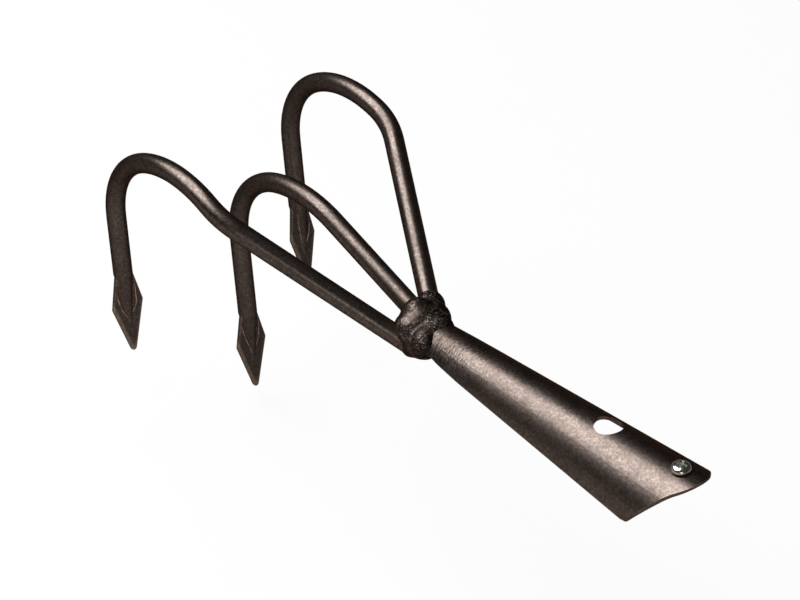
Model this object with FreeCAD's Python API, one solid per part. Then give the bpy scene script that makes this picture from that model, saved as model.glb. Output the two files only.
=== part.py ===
import FreeCAD, Part
import math
import os
from FreeCAD import Vector

# Hand cultivator head: three forged hook tines, welded to a bent sheet socket for a wooden handle.
# Millimetres and degrees. +X runs along the handle, away from the tines, and +Z is up.
# The origin is on the handle's axis, in the plane of the socket's tip.
# The side tines mirror each other across Y = 0, but each was bent by hand, so their sizes differ a little.

# Rods
ROD_DIAMETER = 8.0
ROD_RADIUS = ROD_DIAMETER / 2

# Junction of the rods: its distance behind the socket's tip
JUNCTION_TO_TIP = 139.6
JUNCTION = Vector(-JUNCTION_TO_TIP, 0, 0)

# Second bend of every hook
HOOK_LATE_RADIUS = 37.3

# Centre tine: the leg points down and leans a little back to the handle
CENTRE_RISE = 17.1
CENTRE_BUTT = 4.0
CENTRE_SHANK = 54.7
CENTRE_HOOK_RADIUS = 52.9
CENTRE_LATE_TURN = 76.7
CENTRE_LEAN = 7.8
CENTRE_LEG = 37.0

# Both side tines: the butt is off the centre line by half the room that the two rods need
SIDE_BUTT_Y = 6.7
SIDE_BUTT_Z = -8.2
SIDE_RISE = 25.7
SIDE_SPLAY = 28.7
KNEE_RADIUS = 32.8
UPPER_SPLAY_ANGLE = 0.6

# Left side tine
LEFT_SHANK = 77.6
LEFT_UPPER_RISE = 21.4
LEFT_HOOK_RADIUS = 47.8
LEFT_LATE_TURN = 69.8
LEFT_LEAN = 5.8
LEFT_LEG = 25.9

# Right side tine
RIGHT_SHANK = 83.1
RIGHT_UPPER_RISE = 12.6
RIGHT_HOOK_RADIUS = 47.6
RIGHT_LATE_TURN = 64.1
RIGHT_LEAN = 8.7
RIGHT_LEG = 30.5

# Last small bend of each tine, and the arrow blade at its end
BLADE_BEND_RADIUS = 40.0
BLADE_LEAN = 8.2
RIGHT_BLADE_LEAN = 11.5
BLADE_WIDTH = 14.8
RIGHT_BLADE_WIDTH = 13.0
BLADE_THICKNESS = 1.8
FLARE_LENGTH = 15.0
POINT_LENGTH = 25.4
TIP_RADIUS = 1.3
SHOULDER_RADIUS = 1.5
TONGUE_LENGTH = 25.0
BLADE_EDGE_SOFTENING = 0.4
FLARE_START_INSET = 0.4

# Sheet of the socket
SHEET_THICKNESS = 1.3
JUNCTION_TO_SHEET = 8.0
SOCKET_LENGTH = JUNCTION_TO_TIP - JUNCTION_TO_SHEET
CROWN_RADIUS_NARROW = 9.6
CROWN_RADIUS_MOUTH = 16.2
CROWN_HALF_ANGLE = 48.0
SIDE_TO_CROWN_RADIUS_RATIO = 8.0
SHEET_HALF_WIDTH_NARROW = 12.8
SHEET_HALF_WIDTH_MOUTH = 28.7
CROWN_Z_NARROW = 2.9
CROWN_Z_MOUTH = 16.7
PINCH_LENGTH = 24.0
CROWN_PINCH_DEPTH = 1.0
SIDE_PINCH_DEPTH = 1.6
PINCH_STEP_COUNT = 2
MOUTH_NOSE_RADIUS = 12.0
MOUTH_NOSE_OFFSET = 0.5
MOUTH_FLANK_ANGLE = 46.5
MOUTH_CORNER_RADIUS = SHEET_THICKNESS

# Holes in the crown, from the socket's tip; the handle's one sits a little round to the right tine's side
HANDLE_HOLE_DIAMETER = 10.8
HANDLE_HOLE_FROM_TIP = 44.6
HANDLE_HOLE_TURN_ANGLE = 4.0
SCREW_FROM_TIP = 9.6
SCREW_HOLE_CLEARANCE = 0.15

# Screw
SCREW_SHANK_DIAMETER = 4.0
SCREW_HEAD_DIAMETER = 7.5
SCREW_HEAD_HEIGHT = 2.9
SCREW_HEAD_EDGE = 0.9
HEAD_BULGE_RADIUS_SHARE = 0.92
HEAD_BULGE_HEIGHT_SHARE = 0.62
HEAD_SHOULDER_RADIUS_SHARE = 0.72
HEAD_SHOULDER_HEIGHT_SHARE = 0.9
SCREW_LENGTH = 12.0
SCREW_POINT = 4.0
RECESS_SPAN = 4.4
RECESS_SLOT = 1.1
RECESS_DEPTH = 1.5
SEAT_CLEARANCE = 0.02

# Weld: balls of metal run together, each by its centre from the junction and its radius, all in rod radii
WELD_BALLS = [(-0.25, 0, -0.5, 2), (-0.25, 1.1, -0.62, 1.88), (-0.38, -1, -0.75, 1.7),
              (0.8, -0.65, -1.6, 1.72), (0.3, -1.38, -2, 1.25), (-1.25, 2.3, -1, 1.32),
              (-1.88, 2.58, -0.62, 1.3), (1.38, 0.2, -0.65, 1.85), (-1, 0, 0.3, 1.4)]

# Tolerance for finding an edge by its place
NEAR = 0.01

X_AXIS = Vector(1, 0, 0)
Y_AXIS = Vector(0, 1, 0)


def heading(rise, splay=0.0):
    """Unit vector away from the handle, up by rise and out to -Y by splay."""
    level = math.cos(math.radians(rise))
    return Vector(-level * math.cos(math.radians(splay)), -level * math.sin(math.radians(splay)),
                  math.sin(math.radians(rise)))


def downward(lean):
    """Unit vector down, leaning back to the handle."""
    return Vector(math.sin(math.radians(lean)), 0, -math.cos(math.radians(lean)))


class Rod:
    """A round rod built as a bending jig makes it: straight runs and bends in turn."""

    def __init__(self, start, direction):
        self.end = Vector(start)
        self.direction = Vector(direction)
        self.runs = []

    def straight(self, length):
        self.runs.append(Part.makeCylinder(ROD_RADIUS, length, self.end, self.direction))
        self.end = self.end + self.direction * length

    def bend(self, target, bend_radius, angle=None):
        """Turns towards the target direction, all the way or by a given angle."""
        axis = self.direction.cross(target)
        axis.normalize()
        if angle is None:
            angle = math.degrees(self.direction.getAngle(target))
        centre = self.end + axis.cross(self.direction) * bend_radius
        section = Part.Face(Part.Wire(Part.makeCircle(ROD_RADIUS, self.end, self.direction)))
        self.runs.append(section.revolve(centre, axis, angle))
        turn = FreeCAD.Rotation(axis, angle)
        self.end = centre + turn.multVec(self.end - centre)
        self.direction = turn.multVec(self.direction)

    def hook(self, early_radius, late_turn, lean):
        """Turns down in two bends, the last one tighter."""
        down = downward(lean)
        whole = math.degrees(self.direction.getAngle(down))
        self.bend(down, early_radius, whole - late_turn)
        self.bend(down, HOOK_LATE_RADIUS)

    def leg(self, length, blade_lean):
        """Straight leg, then the small bend to the blade's lean."""
        self.straight(length)
        self.bend(downward(blade_lean), BLADE_BEND_RADIUS)


def blade(width):
    """Forged arrow blade: flat in XZ, root at the origin, point along +Z, with the rod's tapering tongue."""
    half = width / 2
    slope = (half - ROD_RADIUS) / FLARE_LENGTH
    root_half = ROD_RADIUS - FLARE_START_INSET
    root_z = -FLARE_START_INSET / slope
    tip_z = FLARE_LENGTH + POINT_LENGTH
    corners = [Vector(-root_half, 0, root_z), Vector(-half, 0, FLARE_LENGTH), Vector(0, 0, tip_z),
               Vector(half, 0, FLARE_LENGTH), Vector(root_half, 0, root_z)]
    outline = Part.Face(Part.makePolygon(corners + corners[:1]))
    plate = outline.extrude(Y_AXIS * BLADE_THICKNESS)
    plate.translate(Y_AXIS * (-BLADE_THICKNESS / 2))
    plate = plate.makeFillet(TIP_RADIUS, cross_edges(plate, 0, tip_z))
    for side in (-half, half):
        plate = plate.makeFillet(SHOULDER_RADIUS, cross_edges(plate, side, FLARE_LENGTH))
    rims = [edge for edge in plate.Edges if abs(edge.CenterOfMass.y) > BLADE_THICKNESS / 2 - NEAR
            and edge.CenterOfMass.z > root_z / 2]
    plate = plate.makeFillet(BLADE_EDGE_SOFTENING, rims)
    tongue = Part.makeCone(ROD_RADIUS, BLADE_THICKNESS / 2, TONGUE_LENGTH)
    return plate.fuse(tongue)


def cross_edges(plate, x, z):
    """Edges through the blade's thickness at a corner of its outline."""
    found = []
    for edge in plate.Edges:
        off = math.hypot(edge.CenterOfMass.x - x, edge.CenterOfMass.z - z)
        if off < NEAR and edge.Length < BLADE_THICKNESS + NEAR:
            found.append(edge)
    return found


def finished_tine(rod, blade_width):
    """Adds the blade to the rod's end and joins all runs into one solid."""
    arrow = blade(blade_width)
    across = Y_AXIS
    arrow.Placement = FreeCAD.Placement(rod.end, FreeCAD.Rotation(across, Vector(), rod.direction, "ZXY"))
    return rod.runs[0].multiFuse(rod.runs[1:] + [arrow]).removeSplitter()


def centre_tine():
    direction = heading(CENTRE_RISE)
    rod = Rod(JUNCTION - direction * CENTRE_BUTT, direction)
    rod.straight(CENTRE_BUTT + CENTRE_SHANK)
    rod.hook(CENTRE_HOOK_RADIUS, CENTRE_LATE_TURN, CENTRE_LEAN)
    rod.leg(CENTRE_LEG, BLADE_LEAN)
    return finished_tine(rod, BLADE_WIDTH)


def side_rod(shank, upper_rise):
    """The -Y side's rod as far as its knee, which turns it nearly parallel to the centre tine."""
    rod = Rod(JUNCTION + Vector(0, -SIDE_BUTT_Y, SIDE_BUTT_Z), heading(SIDE_RISE, SIDE_SPLAY))
    rod.straight(shank)
    rod.bend(heading(upper_rise, UPPER_SPLAY_ANGLE), KNEE_RADIUS)
    return rod


def left_tine():
    rod = side_rod(LEFT_SHANK, LEFT_UPPER_RISE)
    rod.hook(LEFT_HOOK_RADIUS, LEFT_LATE_TURN, LEFT_LEAN)
    rod.leg(LEFT_LEG, BLADE_LEAN)
    return finished_tine(rod, BLADE_WIDTH)


def right_tine():
    rod = side_rod(RIGHT_SHANK, RIGHT_UPPER_RISE)
    rod.hook(RIGHT_HOOK_RADIUS, RIGHT_LATE_TURN, RIGHT_LEAN)
    rod.leg(RIGHT_LEG, RIGHT_BLADE_LEAN)
    return mirrored(finished_tine(rod, RIGHT_BLADE_WIDTH))


def mirrored(shape):
    return shape.mirror(Vector(0, 0, 0), Y_AXIS)


def along_socket(narrow, mouth, x):
    """Value at x, in proportion from the socket's narrow end to its tip."""
    return narrow + (mouth - narrow) * (x + SOCKET_LENGTH) / SOCKET_LENGTH


def pinch(x):
    """How far the sheet is squeezed at x: 1 at the narrow end, easing to 0."""
    left = 1 - (x + SOCKET_LENGTH) / PINCH_LENGTH
    return max(left, 0) ** 2


def crown_z(x):
    return along_socket(CROWN_Z_NARROW, CROWN_Z_MOUTH, x)


def arch_points(x, inset):
    """Points of the arch's section at x: side edge, bend and crown on -Y, for one face of the sheet."""
    crown = along_socket(CROWN_RADIUS_NARROW, CROWN_RADIUS_MOUTH, x) - CROWN_PINCH_DEPTH * pinch(x)
    half_width = along_socket(SHEET_HALF_WIDTH_NARROW, SHEET_HALF_WIDTH_MOUTH, x)
    half_width = half_width - SIDE_PINCH_DEPTH * pinch(x)
    bend = math.radians(CROWN_HALF_ANGLE)
    side = crown * SIDE_TO_CROWN_RADIUS_RATIO
    side_turn = (half_width - crown * bend) / side
    crown_centre = crown_z(x) - crown
    shift = side - crown
    side_centre_y = shift * math.sin(bend)
    side_centre_z = crown_centre - shift * math.cos(bend)

    def on_crown(angle):
        return Vector(x, -(crown - inset) * math.sin(angle), crown_centre + (crown - inset) * math.cos(angle))

    def on_side(angle):
        return Vector(x, side_centre_y - (side - inset) * math.sin(angle),
                      side_centre_z + (side - inset) * math.cos(angle))

    return [on_side(bend + side_turn), on_side(bend + side_turn / 2), on_crown(bend), on_crown(0)]


def flipped(point):
    return Vector(point.x, -point.y, point.z)


def arch_wire(x):
    """Closed section of the sheet at x."""
    outer = arch_points(x, 0)
    inner = arch_points(x, SHEET_THICKNESS)
    edges = []
    for face in (outer, inner):
        edge, middle, bend, crown = face
        edges.append([Part.Arc(edge, middle, bend).toShape(), Part.Arc(bend, crown, flipped(bend)).toShape(),
                      Part.Arc(flipped(bend), flipped(middle), flipped(edge)).toShape()])
    ends = [Part.makeLine(outer[0], inner[0]), Part.makeLine(flipped(outer[0]), flipped(inner[0]))]
    return Part.Wire(Part.__sortEdges__(edges[0] + edges[1] + ends))


def nose_outline():
    """Plan of the mouth end: a rounded nose with straight flanks, closed far behind and far out."""
    flank = math.radians(MOUTH_FLANK_ANGLE)
    nose = MOUTH_NOSE_RADIUS
    touch = Vector(-nose * (1 - math.cos(flank)), nose * math.sin(flank), 0)
    reach = SHEET_HALF_WIDTH_MOUTH
    flank_end = touch + Vector(-reach * math.tan(flank), reach, 0)
    back = Vector(-2 * SOCKET_LENGTH, flank_end.y, 0)
    edges = [Part.Arc(touch, Vector(0, 0, 0), flipped(touch)).toShape()]
    for side in (Vector, flipped):
        edges.append(Part.makeLine(side(touch), side(flank_end)))
        edges.append(Part.makeLine(side(flank_end), side(back)))
    edges.append(Part.makeLine(back, flipped(back)))
    return Part.Face(Part.Wire(Part.__sortEdges__(edges)))


def crown_normal():
    slope = math.atan2(CROWN_Z_MOUTH - CROWN_Z_NARROW, SOCKET_LENGTH)
    return Vector(-math.sin(slope), 0, math.cos(slope))


def crown_hole(diameter, from_tip, turn=0.0):
    """Cutter through the crown, square to the sheet, turned round to +Y from the crown's top."""
    normal = crown_normal()
    depth = CROWN_RADIUS_MOUTH
    top = Vector(-from_tip, 0, crown_z(-from_tip))
    cutter = Part.makeCylinder(diameter / 2, depth, top - normal * (depth / 2), normal)
    radius = along_socket(CROWN_RADIUS_NARROW, CROWN_RADIUS_MOUTH, -from_tip)
    cutter.rotate(top - Vector(0, 0, radius), X_AXIS, -turn)
    return cutter


def socket():
    step = PINCH_LENGTH / PINCH_STEP_COUNT
    stations = [step * count - SOCKET_LENGTH for count in range(PINCH_STEP_COUNT + 1)]
    sheet = Part.makeLoft([arch_wire(x) for x in stations + [0]], True, True)
    bottom = -2 * SHEET_HALF_WIDTH_MOUTH
    plan = nose_outline()
    plan.translate(Vector(0, MOUTH_NOSE_OFFSET, bottom))
    sheet = sheet.common(plan.extrude(Vector(0, 0, -2 * bottom)))
    corners = [edge for edge in sheet.Edges if is_mouth_corner(edge)]
    sheet = sheet.makeFillet(MOUTH_CORNER_RADIUS, corners)
    sheet = sheet.cut(crown_hole(HANDLE_HOLE_DIAMETER, HANDLE_HOLE_FROM_TIP, HANDLE_HOLE_TURN_ANGLE))
    return sheet.cut(crown_hole(SCREW_SHANK_DIAMETER + 2 * SCREW_HOLE_CLEARANCE, SCREW_FROM_TIP))


def is_mouth_corner(edge):
    """True for the short edge through the sheet where the mouth meets a side edge."""
    middle = edge.CenterOfMass
    low = middle.z < crown_z(middle.x) - CROWN_RADIUS_NARROW
    return low and middle.x > -SOCKET_LENGTH / 2 and edge.Length < 2 * SHEET_THICKNESS


def screw():
    """Pan-head screw, made upright with its seat at the origin, then set square on the crown."""
    radius = SCREW_HEAD_DIAMETER / 2
    shank = SCREW_SHANK_DIAMETER / 2
    seat = Vector(0, 0, 0)
    rim = Vector(radius, 0, 0)
    edge_top = Vector(radius, 0, SCREW_HEAD_EDGE)
    shoulder = Vector(radius * HEAD_SHOULDER_RADIUS_SHARE, 0, SCREW_HEAD_HEIGHT * HEAD_SHOULDER_HEIGHT_SHARE)
    crown = Vector(0, 0, SCREW_HEAD_HEIGHT)
    bulge = Vector(radius * HEAD_BULGE_RADIUS_SHARE, 0, SCREW_HEAD_HEIGHT * HEAD_BULGE_HEIGHT_SHARE)
    profile = Part.Wire([Part.makeLine(seat, rim), Part.makeLine(rim, edge_top),
                         Part.Arc(edge_top, bulge, shoulder).toShape(), Part.makeLine(shoulder, crown),
                         Part.makeLine(crown, seat)])
    head = Part.Face(profile).revolve(seat, Vector(0, 0, 1), 360)
    body = Part.makeCylinder(shank, SCREW_LENGTH - SCREW_POINT, Vector(0, 0, SCREW_POINT - SCREW_LENGTH))
    point = Part.makeCone(0, shank, SCREW_POINT, Vector(0, 0, -SCREW_LENGTH))
    whole = head.multiFuse([body, point]).removeSplitter()
    for turn in (0, 90):
        slot = Part.makeBox(RECESS_SPAN, RECESS_SLOT, RECESS_DEPTH + SCREW_HEAD_HEIGHT,
                            Vector(-RECESS_SPAN / 2, -RECESS_SLOT / 2, SCREW_HEAD_HEIGHT - RECESS_DEPTH))
        slot.rotate(seat, Vector(0, 0, 1), turn + 45)
        whole = whole.cut(slot)
    place = Vector(-SCREW_FROM_TIP, 0, crown_z(-SCREW_FROM_TIP)) + crown_normal() * SEAT_CLEARANCE
    whole.Placement = FreeCAD.Placement(place, FreeCAD.Rotation(Vector(0, 0, 1), crown_normal()))
    return whole


def weld(pieces):
    """Fused bead round the rods' butts and the socket's narrow end, cut to seat on each of them."""
    balls = [Part.makeSphere(radius * ROD_RADIUS, JUNCTION + Vector(x, y, z) * ROD_RADIUS)
             for x, y, z, radius in WELD_BALLS]
    bead = balls[0].multiFuse(balls[1:])
    for piece in pieces:
        bead = bead.cut(piece)
    return max(bead.Solids, key=lambda solid: solid.Volume)


def build():
    nodes = {"socket": socket(), "centre_tine": centre_tine(), "left_tine": left_tine(),
             "right_tine": right_tine()}
    nodes["weld"] = weld(list(nodes.values()))
    nodes["screw"] = screw()
    os.makedirs("parts", exist_ok=True)
    for name, shape in nodes.items():
        print(name, shape.isValid(), len(shape.Solids), round(shape.Volume, 1))
        shape.exportStep("parts/" + name + ".step")


build()
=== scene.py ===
import math
import bmesh
import bpy
from mathutils import Matrix, Vector, noise

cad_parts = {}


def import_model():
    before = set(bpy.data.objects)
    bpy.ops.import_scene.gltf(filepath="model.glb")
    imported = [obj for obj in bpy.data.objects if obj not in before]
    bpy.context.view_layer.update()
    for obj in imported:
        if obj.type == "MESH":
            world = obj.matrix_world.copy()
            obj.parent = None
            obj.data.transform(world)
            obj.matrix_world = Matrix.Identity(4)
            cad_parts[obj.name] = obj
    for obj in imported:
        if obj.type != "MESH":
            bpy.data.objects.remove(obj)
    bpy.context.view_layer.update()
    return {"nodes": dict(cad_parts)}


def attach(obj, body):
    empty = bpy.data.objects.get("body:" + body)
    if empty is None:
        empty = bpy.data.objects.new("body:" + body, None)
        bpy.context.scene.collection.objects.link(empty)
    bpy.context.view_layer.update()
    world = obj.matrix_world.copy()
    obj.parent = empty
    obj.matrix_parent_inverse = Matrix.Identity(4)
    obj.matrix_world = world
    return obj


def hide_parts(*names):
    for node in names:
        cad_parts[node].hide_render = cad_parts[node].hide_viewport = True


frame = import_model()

MM = 0.001

# Sizes of the head's solids, in mm. +X runs along the handle, away from the tines, and +Z is up.
JUNCTION_TO_TIP = 139.6
ROD_RADIUS = 4.0
SOCKET_LENGTH = 131.6
CROWN_Z_NARROW = 2.9
CROWN_Z_MOUTH = 16.7
CROWN_RADIUS_NARROW = 9.6
CROWN_RADIUS_MOUTH = 16.2
CROWN_HALF_ANGLE = math.radians(48)
SCREW_FROM_TIP = 9.6

# Junction of the rods, behind the socket's tip, and the screw's seat on the crown
JUNCTION = Vector((-JUNCTION_TO_TIP, 0, 0)) * MM
CROWN_SLOPE = math.atan2(CROWN_Z_MOUTH - CROWN_Z_NARROW, SOCKET_LENGTH)
CROWN_NORMAL = Vector((-math.sin(CROWN_SLOPE), 0, math.cos(CROWN_SLOPE)))
SCREW_SEAT = Vector((-SCREW_FROM_TIP, 0, CROWN_Z_MOUTH - SCREW_FROM_TIP * math.tan(CROWN_SLOPE))) * MM
SCREW_LIFT = 0.02

# Camera: lens for its sensor in mm, place in metres, and its three axes
CAMERA_SENSOR = 36.0
CAMERA_LENS = 109.67
CAMERA_PLACE = (0.37075, -0.49729, 0.57963)
CAMERA_RIGHT = Vector((0.6677, 0.7436, 0.0347))
CAMERA_UP = Vector((-0.4834, 0.3977, 0.7799))
CAMERA_BACK = Vector((0.5661, -0.5375, 0.6249))

# Lamps: name, direction from the middle of the head, distance and size in metres, and radiance
MIDDLE = Vector((-0.13, 0, 0))
LAMPS = [("key", (-0.445, -0.29, 0.848), 1.2, (1.12, 1.06), 6.6),
         ("fill", (0.733, -0.615, 0.292), 1.3, (0.5, 0.45), 3.0)]

# Surroundings in reflections: grey level by height, and the warm tint of both world and floor
SKY_LEVELS = [(0.0, 0.60), (0.04, 0.14), (0.12, 0.05)]
SKY_TINT = (1.0, 0.94, 0.88)
FLOOR_TINT = (1.0, 0.88, 0.81)
FLOOR_HEIGHT = -0.105
FLOOR_RADIUS = 4.0
FLOOR_WHITE_SHARE = 0.9

# Level direction to the front of the picture, along which the floor's pool of light grows
FRONT_X, FRONT_Y = 0.73, -0.68

# Level direction from the near to the far side of the weld, along which painted shade darkens the weld
FAR_X, FAR_Y = 0.668, 0.744

# Colours of the dark steel
SKIN_DARK = (0.070, 0.0552, 0.0480)
SKIN_MIDDLE = (0.117, 0.0940, 0.0830)
SKIN_LIGHT = (0.180, 0.147, 0.131)
SPECK = (0.048, 0.036, 0.030)
BLOTCH = (0.062, 0.047, 0.039)
STRAW_HEAT = (0.17, 0.115, 0.066)
WORN_EDGE = (0.36, 0.275, 0.205)
RUBBED_TIP = (0.42, 0.34, 0.27)
RUBBED_FLANK = (0.38, 0.30, 0.24)
SCRATCH = (0.21, 0.165, 0.14)
GROOVE = (0.040, 0.030, 0.025)
GRAZING_TINT = (0.36, 0.30, 0.27)

# Colours of the weld, with painted shade for its far side and for its hollows
WELD_DARK = (0.046, 0.036, 0.031)
WELD_MIDDLE = (0.078, 0.062, 0.054)
WELD_LIGHT = (0.15, 0.123, 0.108)
WELD_BLOTCH = (0.034, 0.026, 0.022)
WELD_FAR_SHADE = (0.017, 0.0135, 0.0115)
WELD_SWIRL = (0.36, 0.285, 0.25)
WELD_HOLLOW_SHADE = (0.022, 0.017, 0.015)

# Colours of the burrs and of the zinc plate, whose hollows get a slightly green painted shade
BURR_DARK = (0.19, 0.148, 0.130)
BURR_BRIGHT = (0.50, 0.385, 0.345)
ZINC_DARK = (0.42, 0.41, 0.38)
ZINC_MIDDLE = (0.60, 0.59, 0.56)
ZINC_LIGHT = (0.72, 0.71, 0.68)
ZINC_HOLLOW_SHADE = (0.46, 0.49, 0.43)

# How the bump turns the socket's flanks: its start and blend from the crown, its peak and its strength
FLANK_START = -0.10
FLANK_BLEND = 0.3
FLANK_PEAK = 0.12
FLANK_TURN = 0.25

# Points of the three blades, in mm, and how fast each widens from its point
TIPS = [((-239.7, 0, -98.1), 0.288), ((-265.1, -44.3, -71), 0.288), ((-261.5, 47.1, -77.5), 0.253)]

# Spots on the steel, in mm from the junction: the middle of the heat tint and of the scratched patch
HEAT_SPOT = Vector((-2, 0, -3))
SCRATCHED_SPOT = Vector((17, -3, 4))

# Balls of the weld, by centre from the junction and radius, in rod radii
BALLS = [(-0.25, 0, -0.5, 2), (-0.25, 1.1, -0.62, 1.88), (-0.38, -1, -0.75, 1.7), (0.8, -0.65, -1.6, 1.72),
         (0.3, -1.38, -2, 1.25), (-1.25, 2.3, -1, 1.32), (-1.88, 2.58, -0.62, 1.3), (1.38, 0.2, -0.65, 1.85),
         (-1, 0, 0.3, 1.4), (2.25, -1.75, -0.75, 1.05), (1.7, -1.25, -0.5, 1.2), (1.2, -1.5, -1.2, 1.35)]

# Weld's mesh, in mm: its voxels, and the heights that are added to its smoothed skin
BEAD_VOXEL = 0.35
BEAD_SMOOTHING = 110
BEAD_RIPPLE = 0.05
BEAD_LUMP = 0.30
BEAD_GRAIN = 0.05
BEAD_SWELL = 0.64
LUMP_OFFSET = Vector((3, 1, 7))

# Low burrs where each rod's flattened end runs out on its blade, as points in mm
BURRS = {"left": [[(-269.4, -49.3, -39.2), (-267.9, -48.9, -45.6), (-267.0, -47.3, -51.6),
                   (-266.4, -45.3, -55.4)],
                  [(-268.6, -40.2, -40.0), (-268.0, -40.3, -44.9), (-267.2, -40.8, -50.0),
                   (-266.8, -42.8, -53.4)]],
         "centre": [[(-243.6, -4.8, -65.4), (-242.4, -3.2, -73.0), (-241.0, -0.8, -80.9)],
                    [(-243.2, 4.2, -67.0), (-242.4, 3.7, -73.4), (-241.6, 1.9, -78.6)]],
         "right": [[(-265.6, 44.4, -44.0), (-264.9, 45.1, -53.2), (-263.7, 46.3, -60.5)],
                   [(-265.4, 50.9, -51.0), (-264.2, 49.4, -56.0), (-263.6, 47.8, -59.4)]]}
BURR_RADIUS = 0.42
BURR_END_SHARE = 0.35

# Screw's head in mm: its profile as radius and height, and its recess as height, half length and half width
HEAD_PROFILE = [(0, -0.2), (2.2, -0.2), (3.5, 0.0), (3.7, 0.15), (3.75, 0.45), (3.71, 0.95), (3.55, 1.45),
                (3.26, 1.88), (2.84, 2.2), (2.2, 2.44), (1.3, 2.58), (0, 2.62)]
HEAD_SEGMENTS = 64
HEAD_SOFTENING = 0.13
HEAD_SOFTENING_ANGLE = math.radians(32)
RECESS_ROWS = [(3.4, 2.7, 0.80), (2.6, 2.3, 0.55), (1.1, 1.4, 0.30)]
RECESS_TURNS = (20, 110)

# Screw's thread, in mm, with a plain neck above it and a point below
THREAD_SEGMENTS = 40
THREAD_STEP = 0.1
THREAD_TOP = 0.1
THREAD_RINGS = 121
THREAD_PITCH = 1.4
THREAD_CORE = 1.45
THREAD_CREST = 1.98
THREAD_NECK = 1.4
THREAD_END = 12.0
THREAD_POINT = 4.0
THREAD_LENGTH_SHARE = 0.9


def place_camera():
    """Camera at the photograph's angle."""
    data = bpy.data.cameras.new("camera")
    data.sensor_fit = "HORIZONTAL"
    data.sensor_width = CAMERA_SENSOR
    data.lens = CAMERA_LENS
    data.clip_start = 0.05
    data.clip_end = 20.0
    camera = bpy.data.objects.new("camera", data)
    turn = Matrix((CAMERA_RIGHT, CAMERA_UP, CAMERA_BACK)).transposed().to_4x4()
    camera.matrix_world = Matrix.Translation(CAMERA_PLACE) @ turn
    bpy.context.collection.objects.link(camera)
    bpy.context.scene.camera = camera


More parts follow.
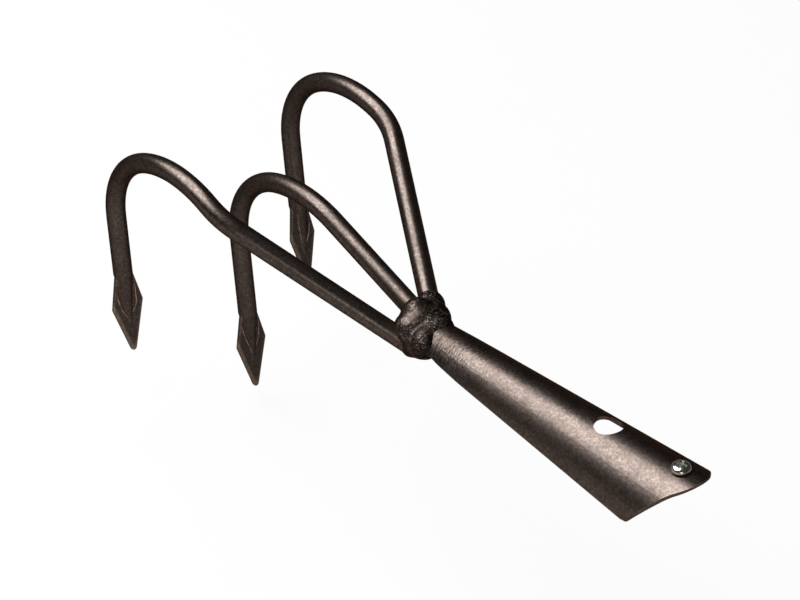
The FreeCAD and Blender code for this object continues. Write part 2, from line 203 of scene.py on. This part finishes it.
class Nodes:
    """Short calls for building a material's nodes."""

    def __init__(self, name):
        self.material = bpy.data.materials.new(name)
        self.material.use_nodes = True
        self.tree = self.material.node_tree
        self.tree.nodes.clear()
        self.output = self.add("ShaderNodeOutputMaterial")
        self.place = self.add("ShaderNodeTexCoord").outputs["Object"]

    def add(self, kind, **values):
        node = self.tree.nodes.new(kind)
        for key, value in values.items():
            setattr(node, key, value)
        return node

    def link(self, start, end):
        self.tree.links.new(start, end)

    def feed(self, socket, value):
        """Links an output to the socket, or sets the socket to a colour or number."""
        if isinstance(value, tuple):
            socket.default_value = (*value, 1.0)
        elif isinstance(value, (int, float)):
            socket.default_value = value
        else:
            self.link(value, socket)

    def noise(self, scale, detail=4.0, roughness=0.6, vector=None, distortion=0.0):
        node = self.add("ShaderNodeTexNoise")
        node.inputs["Scale"].default_value = scale
        node.inputs["Detail"].default_value = detail
        node.inputs["Roughness"].default_value = roughness
        node.inputs["Distortion"].default_value = distortion
        self.link(vector or self.place, node.inputs["Vector"])
        return node.outputs["Fac"]

    def ramp(self, value, stops):
        """Colour ramp from pairs of position and colour or grey level."""
        node = self.add("ShaderNodeValToRGB")
        elements = node.color_ramp.elements
        while len(elements) < len(stops):
            elements.new(0.5)
        for element, (position, colour) in zip(elements, stops):
            element.position = position
            if not isinstance(colour, tuple):
                colour = (colour, colour, colour)
            element.color = (*colour, 1.0)
        self.link(value, node.inputs["Fac"])
        return node.outputs["Color"]

    def spread(self, value, low, high, to_low=0.0, to_high=1.0):
        """Smooth step from one level to another between two values."""
        node = self.add("ShaderNodeMapRange", interpolation_type="SMOOTHSTEP")
        for key, number in (("From Min", low), ("From Max", high), ("To Min", to_low), ("To Max", to_high)):
            node.inputs[key].default_value = number
        self.link(value, node.inputs["Value"])
        return node.outputs["Result"]

    def math(self, operation, *values):
        node = self.add("ShaderNodeMath", operation=operation)
        for socket, value in zip(node.inputs, values):
            self.feed(socket, value)
        return node.outputs[0]

    def plus(self, first, second):
        return self.math("ADD", first, second)

    def minus(self, first, second):
        return self.math("SUBTRACT", first, second)

    def times(self, first, second):
        return self.math("MULTIPLY", first, second)

    def mix(self, factor, first, second):
        node = self.add("ShaderNodeMix", data_type="RGBA")
        for number, value in ((0, factor), (6, first), (7, second)):
            self.feed(node.inputs[number], value)
        return node.outputs[2]

    def parts(self):
        """The place's x, y and z."""
        node = self.add("ShaderNodeSeparateXYZ")
        self.link(self.place, node.inputs[0])
        return node.outputs

    def distance(self, point):
        node = self.add("ShaderNodeVectorMath", operation="DISTANCE")
        node.inputs[1].default_value = point
        self.link(self.place, node.inputs[0])
        return node.outputs["Value"]

    def stretched(self, scale, turn=(0, 0, 0)):
        node = self.add("ShaderNodeMapping")
        node.inputs["Scale"].default_value = scale
        node.inputs["Rotation"].default_value = turn
        self.link(self.place, node.inputs["Vector"])
        return node.outputs["Vector"]

    def bump(self, height, strength, distance, normal=None):
        node = self.add("ShaderNodeBump")
        node.inputs["Strength"].default_value = strength
        node.inputs["Distance"].default_value = distance
        self.link(height, node.inputs["Height"])
        if normal:
            self.link(normal, node.inputs["Normal"])
        return node.outputs["Normal"]

    def worn_edges(self, radius, low, high):
        """Mask of convex edges, from how far a rounded normal departs from the true one."""
        bevel = self.add("ShaderNodeBevel", samples=6)
        bevel.inputs["Radius"].default_value = radius
        true = self.add("ShaderNodeNewGeometry").outputs["Normal"]
        dot = self.add("ShaderNodeVectorMath", operation="DOT_PRODUCT")
        self.link(bevel.outputs["Normal"], dot.inputs[0])
        self.link(true, dot.inputs[1])
        return self.spread(dot.outputs["Value"], high, low)

    def hollow(self, reach):
        """Share of open space round a point: low in hollows and corners."""
        node = self.add("ShaderNodeAmbientOcclusion", samples=8, only_local=True)
        node.inputs["Distance"].default_value = reach
        return node.outputs["AO"]

    def metal(self, colour, roughness, normal, edge=None):
        """Finishes the material as bare metal, with a tint at grazing angles if one is given."""
        node = self.add("ShaderNodeBsdfPrincipled")
        values = {"Base Color": colour, "Metallic": 1.0, "Roughness": roughness, "Normal": normal}
        if edge:
            values["Specular Tint"] = edge
        for key, value in values.items():
            self.feed(node.inputs[key], value)
        self.link(node.outputs[0], self.output.inputs["Surface"])
        return self.material


def rounder_flanks(n):
    """Normal of the socket's skin with its flanks turned a little further round, as the bent sheet's are."""
    x, y, z = n.parts()
    centre_narrow = CROWN_Z_NARROW - CROWN_RADIUS_NARROW
    centre_mouth = CROWN_Z_MOUTH - CROWN_RADIUS_MOUTH
    along = n.math("MULTIPLY_ADD", x, 1 / (SOCKET_LENGTH * MM), 1.0)
    growth = (CROWN_RADIUS_MOUTH - CROWN_RADIUS_NARROW) * MM
    radius = n.math("MULTIPLY_ADD", along, growth, CROWN_RADIUS_NARROW * MM)
    centre = n.math("MULTIPLY_ADD", along, (centre_mouth - centre_narrow) * MM, centre_narrow * MM)
    above = n.minus(z, centre)
    outward = n.times(n.math("ABSOLUTE", y), math.cos(CROWN_HALF_ANGLE))
    down = n.minus(outward, n.times(above, math.sin(CROWN_HALF_ANGLE)))
    share = n.math("SMOOTH_MAX", n.math("DIVIDE", down, radius), FLANK_START, FLANK_BLEND)
    dome = n.math("POWER", n.math("ABSOLUTE", n.minus(share, FLANK_PEAK)), 2.0)
    return n.bump(n.times(n.times(dome, radius), -FLANK_TURN), 1.0, 1.0)


def rubbed_edge(n, tip, widening):
    """Mask along the two cutting edges of one blade, stronger on its outer side."""
    _, y, z = n.parts()
    up = n.minus(z, tip[2] * MM)
    across = n.minus(y, tip[1] * MM)
    off = n.math("ABSOLUTE", across)
    inset = n.minus(n.math("MULTIPLY_ADD", up, widening, 0.0006), off)
    band = n.spread(inset, 0.0012, 0.0004)
    band = n.times(band, n.spread(up, 0.0268, 0.0250))
    band = n.times(band, n.times(n.spread(up, -0.002, 0.0), n.spread(off, 0.010, 0.009)))
    return n.times(band, n.spread(across, -0.001, 0.001, 1.0, 0.3))


def rubbed_blades(n, skin, mottle):
    """Skin with bare metal at the blades' points and along their edges."""
    for tip, widening in TIPS:
        reach = n.plus(n.distance(Vector(tip) * MM), n.times(n.noise(420, 2.0), 0.006))
        skin = n.mix(n.spread(reach, 0.0070, 0.0040, 0.0, 0.7), skin, RUBBED_TIP)
        broken = n.spread(mottle, 0.34, 0.56, 0.35, 0.85)
        skin = n.mix(n.times(rubbed_edge(n, tip, widening), broken), skin, RUBBED_FLANK)
    return skin


def scratched_patch(n, skin, normal):
    """Skin and normal with short grooves across the sheet, beside the weld."""
    near = n.spread(n.distance(JUNCTION + SCRATCHED_SPOT * MM), 0.023, 0.008)
    grooves = n.noise(1.0, 3.0, 0.6, n.stretched((1500, 330, 330), (0, 0.2, 0.45)))
    cut = n.times(near, n.spread(grooves, 0.54, 0.59))
    skin = n.mix(n.times(cut, 0.85), skin, GROOVE)
    normal = n.bump(n.times(n.minus(1.0, grooves), near), 0.5, 0.0003, normal)
    return skin, normal


def dark_steel(name, grain=1.0, sheet=False, polish=(0.30, 0.37)):
    """Hot-worked steel with a burnished brown-black skin, faint heat tint near the weld and worn edges."""
    n = Nodes(name)
    mottle = n.noise(820 * grain, 5.0, 0.72)
    speck = n.noise(2300 * grain, 3.0, 0.6)
    blotch = n.noise(75, 4.0, 0.62)
    skin = n.ramp(mottle, [(0.32, SKIN_DARK), (0.50, SKIN_MIDDLE), (0.66, SKIN_LIGHT)])
    skin = n.mix(n.spread(speck, 0.52, 0.70, 0.0, 0.55), skin, SPECK)
    skin = n.mix(n.spread(blotch, 0.45, 0.72, 0.0, 0.34), skin, BLOTCH)
    heat = n.plus(n.distance(JUNCTION + HEAT_SPOT * MM), n.times(blotch, 0.008))
    straw = n.times(n.spread(heat, 0.021, 0.014), n.spread(mottle, 0.38, 0.6, 0.25, 0.8))
    skin = n.mix(n.times(straw, 0.25), skin, STRAW_HEAT)
    edges = n.worn_edges(0.0007 if sheet else 0.0015, 0.88, 0.992)
    worn = n.times(edges, n.spread(mottle, 0.34, 0.58, 0.25, 1.0))
    skin = n.mix(n.times(worn, 0.35 if sheet else 0.9), skin, WORN_EDGE)
    rough = n.plus(n.spread(speck, 0.3, 0.7, -0.04, 0.05), n.spread(blotch, 0.3, 0.7, *polish))
    normal = n.bump(mottle, 0.40, 0.00005, rounder_flanks(n) if sheet else None)
    if not sheet:
        skin = rubbed_blades(n, skin, mottle)
    normal = n.bump(speck, 0.25, 0.00002, normal)
    scratch = n.noise(1.0, 2.0, 0.5, n.stretched((2600, 130, 130), (0.2, 0.3, 0.5)))
    fine = n.noise(1.0, 1.0, 0.5, n.stretched((170, 3000, 900), (0.5, -0.2, 0.35)))
    marks = n.math("MAXIMUM", n.spread(scratch, 0.69, 0.75), n.spread(fine, 0.72, 0.78))
    skin = n.mix(n.times(marks, 0.35), skin, SCRATCH)
    if sheet:
        skin, normal = scratched_patch(n, skin, normal)
    return n.metal(skin, rough, normal, GRAZING_TINT)


def weld_metal():
    """Smooth dark bead with faint swirls, darkened by painted shade on its far side and in its hollows."""
    n = Nodes("weld_metal")
    x, y, _ = n.parts()
    scale = n.noise(1000, 4.0, 0.62)
    blotch = n.noise(240, 3.0, 0.55, distortion=1.2)
    side = n.plus(n.times(n.plus(x, JUNCTION_TO_TIP * MM), FAR_X), n.times(y, FAR_Y))
    # Mask of the weld's far side, where painted shade darkens the colour and the roughness rises
    far = n.spread(n.plus(side, n.times(blotch, 0.008)), -0.0030, 0.0040)
    skin = n.ramp(scale, [(0.32, WELD_DARK), (0.55, WELD_MIDDLE), (0.75, WELD_LIGHT)])
    skin = n.mix(n.spread(blotch, 0.48, 0.62, 0.0, 0.7), skin, WELD_BLOTCH)
    skin = n.mix(n.times(far, 0.92), skin, WELD_FAR_SHADE)
    rough = n.plus(n.spread(scale, 0.3, 0.7, -0.05, 0.06), n.spread(blotch, 0.35, 0.65, 0.30, 0.46))
    rough = n.plus(rough, n.times(far, 0.16))
    swirl = n.noise(250, 2.0, 0.5, distortion=2.6)
    thread = n.spread(n.math("ABSOLUTE", n.minus(swirl, 0.5)), 0.022, 0.005)
    skin = n.mix(n.times(thread, n.spread(blotch, 0.42, 0.58, 0.15, 0.9)), skin, WELD_SWIRL)
    # Painted shade darkens the bead in its hollows and creases
    skin = n.mix(n.spread(n.hollow(0.0025), 0.75, 0.35, 0.0, 0.8), skin, WELD_HOLLOW_SHADE)
    normal = n.bump(swirl, 0.55, 0.0004)
    normal = n.bump(scale, 0.22, 0.00008, normal)
    return n.metal(skin, rough, normal, GRAZING_TINT)


def burr_steel():
    """Rubbed steel on the low ridges, broken up where the dark skin still holds."""
    n = Nodes("burr_steel")
    patch = n.noise(650, 3.0, 0.6)
    skin = n.ramp(patch, [(0.34, BURR_DARK), (0.54, BURR_BRIGHT)])
    rough = n.spread(n.noise(1800), 0.3, 0.7, 0.38, 0.52)
    return n.metal(skin, rough, n.bump(patch, 0.3, 0.00005))


def zinc():
    """Bright zinc plate with handling marks, dull in the hollows, which get a slightly green painted shade.
    """
    n = Nodes("zinc_plate")
    cloud = n.noise(900, 3.0, 0.6)
    fine = n.noise(4200, 2.0, 0.5)
    skin = n.ramp(cloud, [(0.3, ZINC_DARK), (0.6, ZINC_MIDDLE), (0.8, ZINC_LIGHT)])
    inside = n.hollow(0.0011)
    # Painted shade, slightly green, in the recess and the other hollows of the zinc
    skin = n.mix(n.spread(inside, 0.92, 0.60, 0.0, 0.9), skin, ZINC_HOLLOW_SHADE)
    rough = n.plus(n.spread(fine, 0.3, 0.7, 0.14, 0.26), n.spread(inside, 0.92, 0.60, 0.0, 0.24))
    return n.metal(skin, rough, n.bump(cloud, 0.25, 0.00005))


def floor_white():
    """Pale floor: white to the camera, a pool of light in reflections, and a faint share of the shadow."""
    n = Nodes("floor_white")
    rays = n.add("ShaderNodeLightPath").outputs
    clear = n.math("MAXIMUM", rays["Is Camera Ray"], rays["Is Transmission Ray"])
    seen = n.math("MAXIMUM", clear, rays["Is Glossy Ray"])
    diffuse = n.add("ShaderNodeBsdfDiffuse")
    n.link(n.ramp(n.noise(9, 2.0), [(0.3, 0.80), (0.7, 0.82)]), diffuse.inputs["Color"])
    white = n.add("ShaderNodeEmission")
    x, y, _ = n.parts()
    front = n.plus(n.times(x, FRONT_X), n.times(y, FRONT_Y))
    pool = n.times(n.spread(front, -0.16, 0.10, 0.12, 0.50), rays["Is Glossy Ray"])
    n.link(n.math("MAXIMUM", clear, pool), white.inputs["Strength"])
    n.link(n.mix(clear, FLOOR_TINT, (1.0, 1.0, 1.0)), white.inputs["Color"])
    mix = n.add("ShaderNodeMixShader")
    n.link(n.times(seen, FLOOR_WHITE_SHARE), mix.inputs[0])
    n.link(diffuse.outputs[0], mix.inputs[1])
    n.link(white.outputs[0], mix.inputs[2])
    n.link(mix.outputs[0], n.output.inputs["Surface"])
    return n.material


def area_light(name, direction, distance, size, radiance):
    """Square softbox that faces the head; its power gives the wanted radiance."""
    data = bpy.data.lights.new(name, "AREA")
    data.shape = "RECTANGLE"
    data.size, data.size_y = size
    data.energy = radiance * math.pi * size[0] * size[1]
    lamp = bpy.data.objects.new(name, data)
    out = Vector(direction).normalized()
    lamp.location = MIDDLE + out * distance
    lamp.rotation_euler = out.to_track_quat("Z", "Y").to_euler()
    bpy.context.collection.objects.link(lamp)


def world():
    """White to the camera; in reflections pale at the horizon, falling off to a dim ceiling."""
    place = bpy.data.worlds.new("studio")
    bpy.context.scene.world = place
    place.use_nodes = True
    tree = place.node_tree
    tree.nodes.clear()
    add, link = tree.nodes.new, tree.links.new
    rays = add("ShaderNodeLightPath").outputs
    height = add("ShaderNodeSeparateXYZ")
    link(add("ShaderNodeTexCoord").outputs["Generated"], height.inputs[0])
    fall = add("ShaderNodeValToRGB")
    steps = fall.color_ramp.elements
    steps.new(0.04)
    for step, (position, level) in zip(steps, SKY_LEVELS):
        step.position = position
        step.color = (*(level * share for share in SKY_TINT), 1)
    link(height.outputs["Z"], fall.inputs["Fac"])
    pick = add("ShaderNodeMix")
    pick.data_type = "RGBA"
    link(rays["Is Camera Ray"], pick.inputs[0])
    link(fall.outputs[0], pick.inputs[6])
    pick.inputs[7].default_value = (1, 1, 1, 1)
    back = add("ShaderNodeBackground")
    link(pick.outputs[2], back.inputs["Color"])
    back.inputs["Strength"].default_value = 1.0
    link(back.outputs[0], add("ShaderNodeOutputWorld").inputs["Surface"])


def floor():
    mesh = bpy.data.meshes.new("floor")
    shape = bmesh.new()
    bmesh.ops.create_circle(shape, cap_ends=True, radius=FLOOR_RADIUS, segments=64)
    shape.to_mesh(mesh)
    shape.free()
    plane = bpy.data.objects.new("floor", mesh)
    plane.location = (MIDDLE.x, 0, FLOOR_HEIGHT)
    plane.data.materials.append(floor_white())
    bpy.context.collection.objects.link(plane)


def shade_smooth(mesh):
    for face in mesh.polygons:
        face.use_smooth = True


def add_piece(name, mesh, material):
    """Smooth-shaded object from a mesh."""
    shade_smooth(mesh)
    piece = bpy.data.objects.new(name, mesh)
    piece.data.materials.clear()
    piece.data.materials.append(material)
    bpy.context.collection.objects.link(piece)
    return piece


def finished(name, shape, material):
    """Mesh object from a bmesh."""
    mesh = bpy.data.meshes.new(name)
    shape.to_mesh(mesh)
    shape.free()
    return add_piece(name, mesh, material)


def solved_mesh(piece):
    """New mesh of an object's shape with its modifiers or curve settings applied."""
    bpy.context.view_layer.update()
    return bpy.data.meshes.new_from_object(piece.evaluated_get(bpy.context.evaluated_depsgraph_get()))


def apply_modifiers(piece):
    """Replaces the mesh by its modified shape."""
    mesh = solved_mesh(piece)
    piece.modifiers.clear()
    piece.data = mesh


def close_rings(shape, rings):
    """Quads between each ring of vertices and the next."""
    for first, second in zip(rings, rings[1:]):
        count = len(first)
        for k in range(count):
            shape.faces.new((first[k], first[(k + 1) % count], second[(k + 1) % count], second[k]))


def weld_bead(material):
    """Lumps run together, then rippled as a hand-made bead."""
    shape = bmesh.new()
    for x, y, z, radius in BALLS:
        place = Matrix.Translation(JUNCTION + Vector((x, y, z)) * ROD_RADIUS * MM)
        bmesh.ops.create_icosphere(shape, subdivisions=5, radius=radius * ROD_RADIUS * MM, matrix=place)
    piece = finished("weld_bead", shape, material)
    remesh = piece.modifiers.new("join", "REMESH")
    remesh.mode = "VOXEL"
    remesh.voxel_size = BEAD_VOXEL * MM
    soften = piece.modifiers.new("soften", "SMOOTH")
    soften.iterations = BEAD_SMOOTHING
    apply_modifiers(piece)
    mesh = piece.data
    normals = [Vector(v.normal) for v in mesh.vertices]
    for vertex, normal in zip(mesh.vertices, normals):
        where = (vertex.co - JUNCTION) / MM
        swirl = noise.noise(where * 0.16) * 3.0
        ripple = math.sin((where.x * 0.9 + where.y * 0.6 + swirl) * 1.5) * BEAD_RIPPLE
        lump = noise.noise(where * 0.22 + LUMP_OFFSET) * BEAD_LUMP
        grain = noise.noise(where * 1.1) * BEAD_GRAIN
        vertex.co += normal * (ripple + lump + grain + BEAD_SWELL) * MM
    shade_smooth(mesh)
    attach(piece, "root")
    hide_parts("weld")


def burrs(material):
    """Thin ridges along both sides of each blade's tongue, fading out at their ends."""
    for side, lines in BURRS.items():
        data = bpy.data.curves.new(side + "_burr", "CURVE")
        data.dimensions = "3D"
        data.bevel_depth = BURR_RADIUS * MM
        data.bevel_resolution = 2
        data.resolution_u = 8
        for line in lines:
            spline = data.splines.new("BEZIER")
            spline.bezier_points.add(len(line) - 1)
            for k, (knot, point) in enumerate(zip(spline.bezier_points, line)):
                knot.co = Vector(point) * MM
                knot.handle_left_type = knot.handle_right_type = "AUTO"
                knot.radius = BURR_END_SHARE if k in (0, len(line) - 1) else 1.0
        path = bpy.data.objects.new(side + "_burr_path", data)
        bpy.context.collection.objects.link(path)
        mesh = solved_mesh(path)
        bpy.data.objects.remove(path)
        piece = add_piece(side + "_burr", mesh, material)
        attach(piece, "root")


def lathe(profile, segments):
    """Turns a profile of radius and height pairs, in mm, round the Z axis."""
    shape = bmesh.new()
    rings = []
    for radius, height in profile:
        if radius == 0:
            rings.append([shape.verts.new((0, 0, height * MM))] * segments)
            continue
        rings.append([shape.verts.new((radius * MM * math.cos(2 * math.pi * k / segments),
                                       radius * MM * math.sin(2 * math.pi * k / segments), height * MM))
                      for k in range(segments)])
    for lower, upper in zip(rings, rings[1:]):
        for k in range(segments):
            corners = []
            for corner in (lower[k], lower[(k + 1) % segments], upper[(k + 1) % segments], upper[k]):
                if corner not in corners:
                    corners.append(corner)
            shape.faces.new(corners)
    bmesh.ops.recalc_face_normals(shape, faces=shape.faces)
    return shape


def recess_slot(turn):
    """Tapering block that cuts one slot of the crossed recess."""
    shape = bmesh.new()
    rows = [[shape.verts.new((x * reach * MM, y * wide * MM, z * MM))
             for x, y in ((-1, -1), (1, -1), (1, 1), (-1, 1))]
            for z, reach, wide in RECESS_ROWS]
    shape.faces.new(rows[0])
    shape.faces.new(rows[-1])
    close_rings(shape, rows)
    bmesh.ops.recalc_face_normals(shape, faces=shape.faces)
    spin = Matrix.Rotation(math.radians(turn), 3, "Z")
    bmesh.ops.rotate(shape, verts=shape.verts, cent=(0, 0, 0), matrix=spin)
    return shape


def screw(material):
    """Pan head with a crossed recess, and a coarse thread that ends in a point."""
    head = finished("screw_head", lathe(HEAD_PROFILE, HEAD_SEGMENTS), material)
    for turn in RECESS_TURNS:
        tool = finished("recess_cutter", recess_slot(turn), material)
        cut = head.modifiers.new("recess", "BOOLEAN")
        cut.object = tool
        cut.operation = "DIFFERENCE"
        cut.solver = "EXACT"
        apply_modifiers(head)
        bpy.data.objects.remove(tool)
    soften = head.modifiers.new("soften", "BEVEL")
    soften.width = HEAD_SOFTENING * MM
    soften.segments = 2
    soften.limit_method = "ANGLE"
    soften.angle_limit = HEAD_SOFTENING_ANGLE
    apply_modifiers(head)
    shade_smooth(head.data)
    thread = finished("screw_thread", threaded_shank(), material)
    turn = CROWN_NORMAL.to_track_quat("Z", "Y").to_matrix().to_4x4()
    for part in (head, thread):
        part.data.transform(Matrix.Translation(SCREW_SEAT + CROWN_NORMAL * SCREW_LIFT * MM) @ turn)
        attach(part, "root")
    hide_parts("screw")
    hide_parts("screw")


def threaded_shank():
    """Shank whose surface rises and falls along a helix."""
    shape = bmesh.new()
    rings = []
    for row in range(THREAD_RINGS):
        height = THREAD_TOP - THREAD_STEP * row
        taper = min(1.0, max(0.02, (height + THREAD_END) / THREAD_POINT))
        ring = []
        for k in range(THREAD_SEGMENTS):
            phase = (height / THREAD_PITCH + k / THREAD_SEGMENTS) % 1.0
            flank = max(0.0, 1.0 - abs(phase - 0.5) * 4.0)
            radius = THREAD_CORE * taper
            if height < -THREAD_NECK:
                radius = (THREAD_CORE + (THREAD_CREST - THREAD_CORE) * flank) * taper
            angle = 2 * math.pi * k / THREAD_SEGMENTS
            ring.append(shape.verts.new((radius * MM * math.cos(angle), radius * MM * math.sin(angle),
                                         height * THREAD_LENGTH_SHARE * MM)))
        rings.append(ring)
    close_rings(shape, rings)
    shape.faces.new(rings[0])
    shape.faces.new(rings[-1])
    bmesh.ops.recalc_face_normals(shape, faces=shape.faces)
    return shape


def main():
    bpy.context.scene.view_settings.view_transform = "Standard"
    place_camera()
    world()
    floor()
    for lamp in LAMPS:
        area_light(*lamp)
    steel = dark_steel("burnished_steel")
    sheet = dark_steel("sheet_steel", 1.1, True, (0.28, 0.35))
    skins = {"socket": sheet, "centre_tine": steel, "left_tine": steel, "right_tine": steel}
    for name, material in skins.items():
        for slot in frame["nodes"][name].material_slots:
            slot.material = material
    weld_bead(weld_metal())
    burrs(burr_steel())
    screw(zinc())


main()
